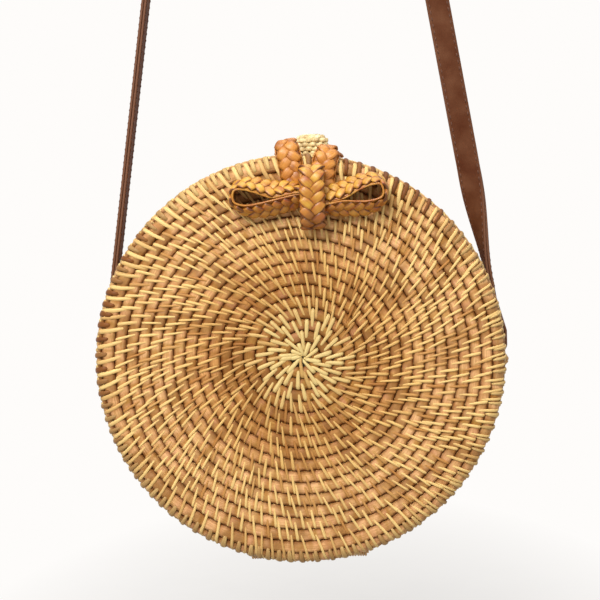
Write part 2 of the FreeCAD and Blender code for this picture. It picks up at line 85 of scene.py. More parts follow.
CORNER_TURN = CORNER * math.pi / 2
RIM_REACH = FACE_REACH + CORNER_TURN + FACE_DEPTH - CORNER - RIM_MIDDLE
EDGE_REACH = FACE_REACH + CORNER_TURN / 2
LAST_REACH = RIM_REACH - RIM_HALF
TAPER_TURN = (LAST_REACH - PITCH / 2 - EYE_REACH) / PITCH * TAU
END_TURN = TAPER_TURN + TAU * 0.97
SPLIT_TURN = (EDGE_REACH - EYE_REACH) / PITCH * TAU


def between(value, low, high):
    """0 at low, 1 at high, even between them and flat beyond."""
    return min(max((value - low) / (high - low), 0.0), 1.0)


def eased(share):
    return share * share * (3 - 2 * share)


# Nodes
class Net:
    """Adds nodes to a tree; inputs are values or other nodes' outputs."""

    def __init__(self, tree):
        self.tree = tree

    def plug(self, socket, value):
        if isinstance(value, bpy.types.NodeSocket):
            self.tree.links.new(value, socket)
        else:
            socket.default_value = value

    def add(self, kind, inputs=None, out=0, **settings):
        node = self.tree.nodes.new(kind)
        for name, value in settings.items():
            setattr(node, name, value)
        for key, value in (inputs or {}).items():
            self.plug(node.inputs[key], value)
        return node.outputs[out]

    def math(self, operation, first, second=0.0):
        return self.add("ShaderNodeMath", {0: first, 1: second}, operation=operation)

    def sum(self, first, second):
        return self.math("ADD", first, second)

    def less(self, first, second):
        return self.math("SUBTRACT", first, second)

    def times(self, first, second):
        return self.math("MULTIPLY", first, second)

    def scaled(self, vector, amounts):
        return self.add("ShaderNodeVectorMath", {0: vector, 1: amounts}, operation="MULTIPLY")

    def split(self, vector):
        node = self.tree.nodes.new("ShaderNodeSeparateXYZ")
        self.plug(node.inputs[0], vector)
        return node.outputs[0], node.outputs[1], node.outputs[2]

    def joined(self, x, y, z):
        return self.add("ShaderNodeCombineXYZ", {0: x, 1: y, 2: z})

    def seen(self):
        """1 where the camera, a reflection or glass looks, 0 for the light on the object."""
        rays = self.tree.nodes.new("ShaderNodeLightPath").outputs
        looked_at = self.math("MAXIMUM", rays["Is Camera Ray"], rays["Is Glossy Ray"])
        return self.math("MAXIMUM", looked_at, rays["Is Transmission Ray"])


# Materials
def colour(code):
    """A linear colour from its sRGB hex code."""
    parts = [int(code[place:place + 2], 16) / 255 for place in (0, 2, 4)]
    linear = [part / 12.92 if part <= 0.04045 else ((part + 0.055) / 1.055) ** 2.4 for part in parts]
    return (*linear, 1.0)


class Paint(Net):
    """A material with a Principled shader and helpers for its layers."""

    def __init__(self, name, **sockets):
        self.material = bpy.data.materials.new(name)
        self.material.use_nodes = True
        super().__init__(self.material.node_tree)
        self.shader = self.tree.nodes["Principled BSDF"]
        for socket, value in sockets.items():
            self.set(socket.replace("_", " "), value)

    def set(self, socket, value):
        self.plug(self.shader.inputs[socket], value)

    def attribute(self, name, out="Fac"):
        return self.add("ShaderNodeAttribute", out=out, attribute_name=name)

    def grain(self):
        """The piece's own (along, across, up)."""
        return self.attribute("grain", "Vector")

    def reach(self):
        """0 at the eye of the drum's face, 1 a little past its edge."""
        return self.spread(self.attribute("reach"), 0.0, 0.11)

    def place(self):
        return self.add("ShaderNodeTexCoord", out="Object")

    def noise(self, vector, scale=1.0, detail=3.0, rough=0.5):
        return self.add("ShaderNodeTexNoise",
                        {"Vector": vector, "Scale": scale, "Detail": detail, "Roughness": rough})

    def streaks(self, stretch, detail, rough=0.5):
        """Noise on the grain, with its own scale each way."""
        return self.noise(self.scaled(self.grain(), stretch), 1.0, detail, rough)

    def ramp(self, value, *stops):
        """Colours by value; each stop is (place, hex code)."""
        node = self.tree.nodes.new("ShaderNodeValToRGB")
        self.plug(node.inputs[0], value)
        elements = node.color_ramp.elements
        while len(elements) < len(stops):
            elements.new(0.5)
        for element, (place, code) in zip(elements, stops):
            element.position = place
            element.color = colour(code)
        return node.outputs[0]

    def spread(self, value, low, high, to_low=0.0, to_high=1.0):
        return self.add("ShaderNodeMapRange", {0: value, 1: low, 2: high, 3: to_low, 4: to_high})

    def mix(self, share, first, second):
        return self.add("ShaderNodeMix", {0: share, 6: first, 7: second}, out=2, data_type="RGBA")

    def layer(self, tone, over, value, *limits):
        """A colour laid over another as far as a value, spread between its limits, says."""
        return self.mix(self.spread(value, *limits), tone, over)

    def bump(self, height, strength, distance):
        relief = {"Height": height, "Strength": strength, "Distance": distance}
        self.set("Normal", self.add("ShaderNodeBump", relief))


def coil_paint():
    """Split rattan: fibres along the coil, a tone for each block, stains over rows, smoked round a ring, with
    painted shade beside each stitch and in the gaps between rows.
    """
    paint = Paint("coil_rattan", Roughness=0.55, Specular_IOR_Level=0.15)
    fibres = paint.streaks((60.0, 1900.0, 1900.0), 4.0, 0.6)
    blocks = paint.streaks((170.0, 60.0, 0.0), 2.0)
    hues = paint.streaks((210.0, 90.0, 50.0), 1.0)
    stains = paint.noise(paint.place(), 75.0, 2.0)
    reach = paint.reach()
    light = paint.ramp(reach, (0.0, "ab7c3c"), (0.2, "b27e40"), (0.3, "be8642"), (0.42, "da9f60"),
                       (0.6, "f2be88"), (0.84, "e6b07a"), (0.95, "f1c78c"))
    dark = paint.ramp(reach, (0.0, "8f5f2a"), (0.2, "905d2a"), (0.3, "875522"), (0.42, "9c6931"),
                      (0.6, "b78341"), (0.84, "a57134"), (0.95, "b37d3f"))
    tone = paint.layer(dark, light, blocks, 0.34, 0.52)
    tone = paint.layer(tone, colour("ac8a42"), hues, 0.52, 0.72, 0.0, 0.5)
    tone = paint.layer(tone, colour("d0926c"), hues, 0.5, 0.32, 0.0, 0.65)
    tone = paint.layer(tone, colour("83592f"), stains, 0.48, 0.6, 0.0, 0.75)
    tone = paint.layer(tone, dark, fibres, 0.35, 0.6, 0.6, 0.0)
    swell = paint.attribute("swell")
    # Painted shade: the coil is darker where it dips under a stitch.
    tone = paint.layer(tone, dark, swell, SWELL_LOW, 1.0, 0.55, 0.0)
    # Painted shade in the gaps between rows, strongest beside the stitches.
    off_middle = paint.math("ABSOLUTE", paint.split(paint.grain())[1])
    depth = paint.spread(swell, SWELL_LOW, 1.0, 0.98, 0.45)
    gap_shade = paint.times(paint.spread(off_middle, 1.2 * MM, 2.5 * MM), depth)
    paint.set("Base Color", paint.mix(gap_shade, tone, colour("6a340a")))
    paint.bump(fibres, 0.6, 0.0005)
    return paint.material


def straw_paint():
    """Peeled stitches: pale on top, browner ones between, with fine lines along each."""
    paint = Paint("stitch_straw", Roughness=0.45, Specular_IOR_Level=0.2)
    lines = paint.streaks((80.0, 2600.0, 1300.0), 3.0)
    reach = paint.reach()
    pale = paint.ramp(reach, (0.0, "e4cf8e"), (0.17, "e0c583"), (0.24, "d9af6a"), (0.45, "e8bf74"),
                      (0.6, "f1d088"), (0.9, "f0cf87"))
    brown = paint.ramp(reach, (0.0, "c39a58"), (0.17, "b98849"), (0.26, "9c6630"), (0.45, "a97036"),
                       (0.6, "b57e42"), (0.84, "b0783c"), (0.87, "7d4a1e"))
    shade = paint.attribute("shade")
    tone = paint.layer(brown, pale, shade, 0.25, 0.75)
    tone = paint.layer(tone, colour("431f08"), shade, 0.0, 0.25, 0.85, 0.0)
    paint.set("Base Color", paint.layer(tone, brown, lines, 0.3, 0.7, 0.45, 0.0))
    paint.bump(lines, 0.3, 0.0003)
    return paint.material


def plait_paint(name, light, middle, dark, rough):
    """Glossy honey-coloured plait: each strand has its own tone and fine lines, with painted shade where the
    shade attribute is low, in creases and on parts that face down.
    """
    paint = Paint(name, Roughness=rough, Coat_Weight=0.08, Coat_Roughness=0.3)
    lines = paint.streaks((70.0, 1500.0, 1500.0), 4.0)
    cloud = paint.streaks((150.0, 150.0, 150.0), 2.0)
    tone = paint.ramp(paint.spread(cloud, 0.3, 0.7), (0.0, dark), (0.5, middle), (1.0, light))
    shade = paint.attribute("shade")
    # Painted shade: darker where the shade attribute is low, in creases and on parts that face down.
    tone = paint.layer(tone, colour(dark), shade, 0.0, 0.5, 0.75, 0.0)
    tone = paint.layer(tone, colour(dark), lines, 0.3, 0.6, 0.4, 0.0)
    # Painted shade: nearly black brown in the deepest creases.
    paint.set("Base Color", paint.layer(tone, colour("431f07"), shade, 0.0, 0.12, 0.9, 0.0))
    paint.bump(lines, 0.3, 0.0004)
    return paint.material


def leather_paint():
    """Brown leather: pebbled grain, cloudy dye, and paler edges, a painted highlight along the border."""
    paint = Paint("strap_leather", Roughness=0.65, Specular_IOR_Level=0.08)
    grain = paint.grain()
    cells = paint.add("ShaderNodeTexVoronoi", {"Vector": grain, "Scale": 1500.0, "Randomness": 0.9})
    cloud = paint.noise(grain, 90.0, 4.0)
    tone = paint.ramp(paint.spread(cloud, 0.3, 0.7), (0.0, "502814"), (0.5, "5c3520"), (1.0, "68412b"))
    # Painted highlight: paler where the shade attribute marks the strap's edges.
    paint.set("Base Color", paint.layer(tone, colour("74503d"), paint.attribute("shade"), 0.0, 1.0))
    paint.bump(cells, 0.18, 0.0003)
    return paint.material


def thread_paint():
    """Brown thread with a twist."""
    paint = Paint("strap_thread", Roughness=0.7)
    twist = paint.streaks((900.0, 3000.0, 3000.0), 1.0)
    paint.set("Base Color", paint.ramp(twist, (0.3, "4c2a1b"), (0.7, "6d4835")))
    paint.bump(twist, 0.5, 0.0002)
    return paint.material


def cotton_paint():
    """Undyed lining cloth with a plain weave."""
    paint = Paint("lining_cotton", Roughness=0.9)
    threads = paint.split(paint.scaled(paint.grain(), (9000.0, 9000.0, 1.0)))
    weave = paint.times(paint.math("SINE", threads[0]), paint.math("SINE", threads[1]))
    slub = paint.streaks((300.0, 40.0, 1.0), 3.0)
    paint.set("Base Color", paint.ramp(slub, (0.25, "b7a684"), (0.75, "cdbf9f")))
    paint.bump(paint.sum(weave, slub), 0.25, 0.0003)
    return paint.material


def brass_paint():
    """Worn brass: duller and sharper patches."""
    paint = Paint("rivet_brass", Metallic=1.0)
    wear = paint.noise(paint.place(), 900.0, 4.0)
    paint.set("Base Color", paint.ramp(wear, (0.3, "a8843f"), (0.7, "d2ad62")))
    paint.set("Roughness", paint.spread(wear, 0.3, 0.7, 0.28, 0.5))
    paint.bump(wear, 0.1, 0.0002)
    return paint.material


def cane_paint():
    """Bare rattan for rods, the peg and the lashing: fine lines along x."""
    paint = Paint("bare_cane", Roughness=0.5)
    lines = paint.noise(paint.scaled(paint.place(), (60.0, 1800.0, 1800.0)), detail=4.0)
    paint.set("Base Color", paint.ramp(lines, (0.3, "8f6233"), (0.5, "b98a50"), (0.75, "d7ad72")))
    paint.bump(lines, 0.3, 0.0004)
    return paint.material


COIL = coil_paint()
STRAW = straw_paint()
BOW_PLAIT = plait_paint("bow_plait", "deae42", "c8932f", "a04c14", 0.42)
CLASP_PLAIT = plait_paint("clasp_plait", "e29c42", "cd8530", "925014", 0.42)
KNOB_STRAW = plait_paint("knob_straw", "fbecba", "ecd79c", "a88250", 0.5)
WOUND_STRAW = plait_paint("wound_straw", "dcb276", "c29052", "85562a", 0.45)
LEATHER = leather_paint()
THREAD = thread_paint()
COTTON = cotton_paint()
BRASS = brass_paint()
CANE = cane_paint()


# Plain meshes
def vec(x, y, z):
    """A point from its place in millimetres."""
    return Vector((x * MM, y * MM, z * MM))


def link(name, data):
    obj = bpy.data.objects.new(name, data)
    bpy.context.scene.collection.objects.link(obj)
    return obj


def new_mesh(name, places, faces=(), edges=()):
    mesh = bpy.data.meshes.new(name)
    mesh.from_pydata(places, edges, faces)
    return mesh


def give_numbers(mesh, label, numbers):
    mesh.attributes.new(label, "FLOAT", "POINT").data.foreach_set("value", numbers)


def give_grain(mesh, rows):
    flat = [number for row in rows for number in row]
    mesh.attributes.new("grain", "FLOAT_VECTOR", "POINT").data.foreach_set("vector", flat)


def outward(mesh):
    """Turn the faces of each closed shell outwards and shade them smooth."""
    shell = bmesh.new()
    shell.from_mesh(mesh)
    bmesh.ops.recalc_face_normals(shell, faces=shell.faces)
    shell.to_mesh(mesh)
    shell.free()
    mesh.shade_smooth()


def settle(obj, body, slot, *nodes):
    """A finished piece rides on its body and stands for these nodes, which it hides; slot is not used."""
    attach(obj, body)
    if nodes:
        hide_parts(*nodes)
    return obj


def point_mesh(name, places, chain=False, **values):
    """Loose points, or a chain of them, with float attributes."""
    edges = [(number, number + 1) for number in range(len(places) - 1)] if chain else []
    mesh = new_mesh(name, places, edges=edges)
    for label, numbers in values.items():
        give_numbers(mesh, label, numbers)
    return mesh


def ring_faces(count, size, start=0, closed=False):
    """Faces between rings of points; the last ring joins the first, or both ends are capped."""
    faces = []
    for number in range(count if closed else count - 1):
        ring, following = start + number * size, start + (number + 1) % count * size
        for corner in range(size):
            step = (corner + 1) % size
            faces.append((ring + corner, ring + step, following + step, following + corner))
    if not closed:
        faces.append(tuple(range(start, start + size)))
        faces.append(tuple(range(start + (count - 1) * size, start + count * size)))
    return faces


class Shape:
    """Swept tubes and bands gathered into one mesh, with grain and shade attributes."""

    def __init__(self):
        self.verts, self.faces, self.grain, self.shade = [], [], [], []

    def sweep(self, points, normals, section, shade=0.5, closed=False, grow=None, seed=0.0):
        """A section of (across, up, shade) carried along points; normals give its up."""
        count, start, along = len(points), len(self.verts), 0.0
        for number, place in enumerate(points):
            before = points[number - 1] if number or closed else place
            after = points[(number + 1) % count] if number + 1 < count or closed else place
            tangent = (after - before).normalized()
            side = tangent.cross(normals[number]).normalized()
            up = side.cross(tangent)
            along += (place - points[number - 1]).length if number else 0.0
            scale = grow[number] if grow else 1.0
            tint = shade[number] if isinstance(shade, list) else shade
            for across, height, own_tint in section:
                self.verts.append(place + side * across * scale + up * height * scale)
                self.grain.append((along + seed, across, height + seed))
                self.shade.append(tint if own_tint is None else own_tint)
        self.faces += ring_faces(count, len(section), start, closed)

    def make(self, name, material):
        mesh = new_mesh(name, self.verts, self.faces)
        give_grain(mesh, self.grain)
        give_numbers(mesh, "shade", self.shade)
        mesh.materials.append(material)
        outward(mesh)
        return link(name, mesh)


def round_section(half_width, half_height, count=10):
    angles = [TAU * number / count for number in range(count)]
    return [(half_width * math.cos(angle), half_height * math.sin(angle), None) for angle in angles]


def lengths(points):
    total, rows = 0.0, [0.0]
    for before, after in zip(points, points[1:]):
        total += (after - before).length
        rows.append(total)
    return rows


def spot_at(places, want):
    """The end of the step that holds this length, and the share of the step before it."""
    end = min(max(bisect.bisect_left(places, want), 1), len(places) - 1)
    span = places[end] - places[end - 1]
    share = (want - places[end - 1]) / span if span else 0.0
    return end, share


def smooth(points, normals, step=None, count=None):
    """Round a chain of corners and read it at even steps; the normals go with it."""
    for turn in range(3):
        new_points, new_normals = [points[0]], [normals[0]]
        for number in range(len(points) - 1):
            for share in (0.25, 0.75):
                new_points.append(points[number].lerp(points[number + 1], share))
                new_normals.append(normals[number].lerp(normals[number + 1], share))
        points, normals = new_points + [points[-1]], new_normals + [normals[-1]]
    places = lengths(points)
    count = count or max(3, round(places[-1] / step) + 1)
    out_points, out_normals = [], []
    for number in range(count):
        end, share = spot_at(places, places[-1] * number / (count - 1))
        out_points.append(points[end - 1].lerp(points[end], share))
        out_normals.append(normals[end - 1].lerp(normals[end], share).normalized())
    return out_points, out_normals


# Coiled drum
def row_place(turn):
    """Reach of the coil's middle and its half width; the last turn tapers against the mouth row."""
    reach = EYE_REACH + PITCH * turn / TAU
    if turn <= TAPER_TURN:
        return reach, PITCH / 2
    inner = reach - PITCH / 2
    return (inner + LAST_REACH) / 2, max((LAST_REACH - inner) / 2, 0.1 * MM)


def drum_radius(reach):
    angle = min(max((reach - FACE_REACH) / CORNER, 0.0), math.pi / 2)
    return max(min(reach, FACE_REACH) + CORNER * math.sin(angle), 1.0 * MM)


def stitch_turns(rng):
    """Each new stitch starts midway between the outer ends of two older ones; a wide gap gets two."""
    turns = [TAU * number / FIRST_STITCHES for number in range(FIRST_STITCHES + 1)]
    older = 0
    while turns[-1] < END_TURN:
        gap = turns[older + 1] - turns[older]
        radius = drum_radius(row_place(turns[-1])[0])
        shares = (0.27, 0.73) if gap * radius > 1.28 * STITCH_SPACING else (0.5,)
        for share in shares:
            start = turns[older] + gap * (share + rng.uniform(-0.08, 0.08))
            turns.append(start + TAU - STITCH_LEAN * PITCH / radius)
        older += 1
    return sorted(turn for turn in turns if turn < END_TURN)


def roll_up(net, reach, turn, height, facing):
    """Flat (reach, turn, height) to the drum: out over the face, round the corner, along the wall."""
    past = net.less(reach, FACE_REACH)
    bend = net.math("MAXIMUM", net.math("DIVIDE", past, CORNER), 0.0)
    angle = net.math("MINIMUM", bend, math.pi / 2)
    arm = net.sum(height, CORNER)
    inner = net.math("MINIMUM", reach, FACE_REACH)
    radius = net.sum(inner, net.times(net.math("SINE", angle), arm))
    level = net.sum(net.times(net.math("COSINE", angle), arm), FACE_DEPTH - CORNER)
    depth = net.less(level, net.math("MAXIMUM", net.less(past, CORNER_TURN), 0.0))
    around = net.less(START_ANGLE, turn)
    share = net.math("DIVIDE", inner, FACE_REACH)
    fade = net.less(1.0, net.times(share, share))
    across = net.sum(net.times(radius, net.math("COSINE", around)), net.times(fade, EYE_SHIFT[0]))
    upward = net.sum(net.times(radius, net.math("SINE", around)), net.times(fade, EYE_SHIFT[1]))
    return net.joined(net.times(across, net.times(facing, -1.0)), net.times(depth, facing), upward)


def new_tree(name, **inputs):
    """A Geometry Nodes tree with named inputs; returns its net, its inputs and its output."""
    tree = bpy.data.node_groups.new(name, "GeometryNodeTree")
    tree.interface.new_socket("Geometry", in_out="INPUT", socket_type="NodeSocketGeometry")
    for label, kind in inputs.items():
        tree.interface.new_socket(label.replace("_", " "), in_out="INPUT", socket_type="NodeSocket" + kind)
    tree.interface.new_socket("Geometry", in_out="OUTPUT", socket_type="NodeSocketGeometry")
    given = tree.nodes.new("NodeGroupInput").outputs
    return Net(tree), given, tree.nodes.new("NodeGroupOutput").inputs[0]


def named(net, label):
    return net.add("GeometryNodeInputNamedAttribute", {"Name": label}, data_type="FLOAT")


def finish_tree(net, given, result, geometry, grain, place):
    """Keep the grain, move every point to its place on the drum and set the material."""
    stored = {"Geometry": geometry, "Name": "grain", "Value": grain}
    geometry = net.add("GeometryNodeStoreNamedAttribute", stored, data_type="FLOAT_VECTOR", domain="POINT")
    geometry = net.add("GeometryNodeSetPosition", {"Geometry": geometry, "Position": place})
    geometry = net.add("GeometryNodeSetMaterial", {"Geometry": geometry, "Material": given["Material"]})
    net.plug(result, geometry)
    return net.tree


def coil_tree():
    """Sweeps a flattened section along the flat coil path, then rolls it up."""
    net, given, result = new_tree("coil rows", Facing="Float", Row_Width="Float", Row_Height="Float",
                                  Edge_Round="Float", Material="Material")
    path = net.add("GeometryNodeMeshToCurve", {"Mesh": given["Geometry"]})
    path = net.add("GeometryNodeSetCurveNormal", {"Curve": path}, mode="Z_UP")
    section = net.add("GeometryNodeCurvePrimitiveQuadrilateral",
                      {"Width": given["Row Width"], "Height": given["Row Height"]})
    section = net.add("GeometryNodeFilletCurve", {"Curve": section, "Radius": given["Edge Round"], "Count": 2,
                                                  "Limit Radius": True}, mode="POLY")
    rows = net.add("GeometryNodeCurveToMesh", {"Curve": path, "Profile Curve": section, "Fill Caps": True})
    x, turn, z = net.split(net.add("GeometryNodeInputPosition"))
    reach, width = named(net, "reach"), named(net, "width")
    across = net.times(net.less(x, reach), width)
    height = net.times(net.times(z, width), named(net, "swell"))
    grain = net.joined(named(net, "along"), across, height)
    place = roll_up(net, net.sum(reach, across), turn, height, given["Facing"])
    return finish_tree(net, given, result, rows, grain, place)


def stitch_tree():
    """Puts one sliver at every stitch point, then leans, spans and rolls it up."""
    net, given, result = new_tree("stitches", Sliver="Object", Facing="Float", Material="Material")
    sliver = net.add("GeometryNodeObjectInfo", {"Object": given["Sliver"]}, out="Geometry")
    copies = net.add("GeometryNodeInstanceOnPoints", {"Points": given["Geometry"], "Instance": sliver})
    copies = net.add("GeometryNodeRealizeInstances", {"Geometry": copies})
    along, across, height = net.split(net.add("GeometryNodeInputPosition"))
    run = net.times(along, named(net, "span"))
    sideways = net.less(net.times(across, named(net, "broad")), net.times(run, named(net, "lean")))
    reach = net.math("MAXIMUM", net.sum(named(net, "reach"), run), 0.4 * MM)
    radius = net.math("MAXIMUM", net.math("MINIMUM", reach, FACE_REACH + CORNER), 1.8 * MM)
    turn = net.sum(named(net, "turn"), net.math("DIVIDE", sideways, radius))
    height = net.sum(height, named(net, "lift"))
    own_grain = net.times(named(net, "shade"), 3.0)
    grain = net.joined(run, net.sum(across, own_grain), height)
    place = roll_up(net, reach, turn, height, given["Facing"])
    return finish_tree(net, given, result, copies, grain, place)


def grown(name, mesh, tree, **inputs):
    """Run a tree on a mesh and keep the result as a plain mesh object."""
    seed = link(name + "_seed", mesh)
    modifier = seed.modifiers.new("grow", "NODES")
    modifier.node_group = tree
    for item in tree.interface.items_tree:
        label = item.name.replace(" ", "_")
        if item.in_out == "INPUT" and label in inputs:
            modifier[item.identifier] = inputs[label]
    bpy.context.view_layer.update()
    graph = bpy.context.evaluated_depsgraph_get()
    ready = seed.evaluated_get(graph)
    result = bpy.data.meshes.new_from_object(ready, preserve_all_data_layers=True, depsgraph=graph)
    bpy.data.objects.remove(seed)
    outward(result)
    result.name = name
    return link(name, result)


def sliver_mesh():
    """One stitch over two rows: tapered ends that dive into the gaps, half-round above."""
    # Each station: place along the stitch, then half width and top in mm
    stations = [(-1.0, 0.25, 0.9), (-0.88, 0.52, 1.9), (-0.6, 0.74, 2.5), (-0.2, 0.84, 2.66),
                (0.2, 0.9, 2.75), (0.6, 0.94, 2.8), (0.84, 0.86, 2.5), (0.95, 0.62, 1.7), (1.0, 0.4, 0.5)]
    arc = [math.radians(angle) for angle in (-40, 15, 55, 90, 125, 165, 220)]
    crown = 0.6
    verts = []
    for along, half, top in stations:
        for turn in arc:
            height = top - crown + crown * math.sin(turn)
            verts.append((along, half * math.cos(turn) * MM, height * MM))
    return new_mesh("sliver", verts, ring_faces(len(stations), len(arc)))


def wrap_mesh():
    """One whole turn of splint round the mouth row, nearly flush on the side where the halves meet."""
    outline = [(-0.95, 2.5), (-0.7, 2.95), (-0.3, 3.15), (0.3, 3.15), (0.7, 2.95), (0.95, 2.5), (1.0, 1.8),
               (1.0, 0.0), (1.0, -1.8), (0.9, -2.5), (0.4, -2.75), (-0.4, -2.75), (-0.9, -2.5), (-1.0, -1.8),
               (-1.0, 1.8)]
    section = [(-0.85, 0.96), (-0.5, 1.0), (0.5, 1.0), (0.85, 0.96), (0.85, 0.8), (-0.85, 0.8)]
    verts = []
    for along, height in outline:
        verts += [(along * size, across * MM, height * size * MM) for across, size in section]
    return new_mesh("wrap", verts, ring_faces(len(outline), len(section), closed=True))


COILS = coil_tree()
STITCHES = stitch_tree()
SLIVER = link("sliver", sliver_mesh())
WRAP = link("wrap", wrap_mesh())


def put(rows, **values):
    for label, value in values.items():
        rows.setdefault(label, []).append(value)


def coil_path(name, first, last, crossings):
    """Points along the coil between two turns, swollen between its stitches."""
    places, rows = [], {}
    turn, along = first, 0.0
    while True:
        reach, half = row_place(turn)
        radius = drum_radius(reach)
        spot = bisect.bisect(crossings, turn)
        nearest = min(abs(turn - crossing) for crossing in crossings[max(spot - 1, 0):spot + 1])
        swell = SWELL_LOW + (1.0 - SWELL_LOW) * eased(between(nearest * radius, 0.0, 2.2 * MM))
        places.append((reach, turn, 0.0))
        put(rows, reach=reach, width=half / (PITCH / 2), along=along, swell=swell)
        if turn >= last:
            break
        step = min(1.0 * MM / radius, 0.25)
        turn = min(turn + step, last)
        along += step * radius
    return point_mesh(name, places, chain=True, **rows)


def stitch_points(turns, rng):
    """Slivers over two rows, thick and pale near the eye, with wraps between them round the face's edge."""
    rows = {}
    for number, turn in enumerate(turns):
        reach, half = row_place(turn)
        inner, inner_half = row_place(max(turn - TAU, 0.0))
        centre = between(reach, 28 * MM, 22 * MM)
        edge = between(reach, 86 * MM, 92 * MM)
        inner_edge = inner - inner_half * (1.0 - 0.2 * centre) if turn > TAU else 0.3 * MM
        outer_edge = reach + half
        on_edge = abs(outer_edge - EDGE_REACH) < PITCH / 2
        if on_edge:
            outer_edge = EDGE_REACH + 1.8 * MM
        elif abs(inner + inner_half - EDGE_REACH) < PITCH / 2:
            inner_edge = EDGE_REACH + 1.0 * MM
        angle = START_ANGLE - turn
        low, right = max(-math.sin(angle), 0.0), max(math.cos(angle), 0.0) ** 2
        brown = rng.random() < 0.24 - 0.16 * centre - 0.12 * edge
        lean = STITCH_LEAN + 0.1 * (1 - centre) + rng.uniform(-0.11, 0.11)
        broad = 0.8 + 0.34 * centre + 0.45 * edge * (1 - low) * (1 - right) + rng.uniform(-0.12, 0.12)
        shade = rng.uniform(0.25, 0.45) + 0.2 * edge if brown else rng.uniform(0.6, 1.0) - 0.15 * edge * low
        put(rows, reach=(inner_edge + outer_edge) / 2, turn=turn, span=(outer_edge - inner_edge) / 2,
            lean=lean, broad=broad, lift=0.0, shade=shade)
        if on_edge and number + 1 < len(turns):
            edge_wrap(rows, (turn + turns[number + 1]) / 2, angle, right, rng)
    return rows


def edge_wrap(rows, turn, angle, right, rng):
    """A brown wrap over the face's edge, darker at the left and the upper right."""
    left = max(-math.cos(angle), 0.0) ** 2 * between(math.sin(angle), -0.7, 0.3)
    upper_left = max(math.cos(angle - math.radians(115)), 0.0) ** 6
    upper_right = max(math.cos(angle - math.radians(60)), 0.0) ** 10
    tone = 0.46 - 0.3 * left + 0.16 * upper_left - 0.4 * upper_right + 0.14 * right
    put(rows, reach=EDGE_REACH - 0.6 * MM, turn=turn - 1.7 * MM / (FACE_REACH + CORNER),
        span=(3.2 + 1.4 * upper_right) * MM, lean=STITCH_LEAN + rng.uniform(-0.05, 0.1),
        broad=1.4 - 0.5 * right + rng.uniform(-0.25, 0.2), lift=0.3 * MM,
        shade=tone + rng.uniform(-0.08, 0.1))


def rim_points(rng):
    """Turns of splint side by side round the mouth."""
    rows = {}
    for number in range(RIM_WRAPS):
        put(rows, reach=RIM_REACH, turn=TAU * (number + rng.uniform(-0.12, 0.12)) / RIM_WRAPS,
            span=RIM_HALF + 0.12 * MM, lean=STITCH_LEAN + rng.uniform(-0.05, 0.05),
            broad=1.6 + rng.uniform(-0.2, 0.2), lift=0.0, shade=rng.uniform(0.45, 0.9))
    return rows


def rim_path(name):
    steps = 5 * RIM_WRAPS
    places, rows = [], {}
    for number in range(steps + 1):
        turn = TAU * number / steps
        places.append((RIM_REACH, turn, 0.0))
        put(rows, reach=RIM_REACH, width=1.0, along=turn * drum_radius(RIM_REACH), swell=1.0)
    return point_mesh(name, places, chain=True, **rows)


def coiled_half(side, body, facing, seed):
    """One half of the drum: face, wall and mouth row, with all their stitches."""
    rng = random.Random(seed)
    turns = stitch_turns(rng)

    def coil(word, path, width, height, edge_round):
        name = f"{side}_{word}_coil"
        piece = grown(name, path, COILS, Facing=facing, Material=COIL, Row_Width=width, Row_Height=height,
                      Edge_Round=edge_round)
        settle(piece, body, "coil_rattan", f"{side}_{word}")

    def binding(word, rows, sliver):
        name = f"{side}_{word}"
        points = point_mesh(name, [(0.0, 0.0, 0.0)] * len(rows["turn"]), **rows)
        piece = grown(name, points, STITCHES, Sliver=sliver, Facing=facing, Material=STRAW)
        settle(piece, body, "binding_straw")

    for word, first, last in (("panel", 0.0, SPLIT_TURN), ("wall", SPLIT_TURN, END_TURN)):
        path = coil_path(f"{side}_{word}_coil", first, last, turns)
        coil(word, path, PITCH - 0.15 * MM, 2 * ROW_HALF, 1.5 * MM)
        part = [turn for turn in turns if first <= turn < last]
        binding(f"{word}_stitches", stitch_points(part, rng), SLIVER)
    coil("rim", rim_path(f"{side}_rim_coil"), 2 * RIM_HALF, 2 * ROW_HALF + 0.6 * MM, 2.3 * MM)
    binding("rim_wraps", rim_points(rng), WRAP)


coiled_half("front", "front_half", -1.0, 3)
coiled_half("back", "back_half", 1.0, 8)
bpy.data.objects.remove(SLIVER)
bpy.data.objects.remove(WRAP)


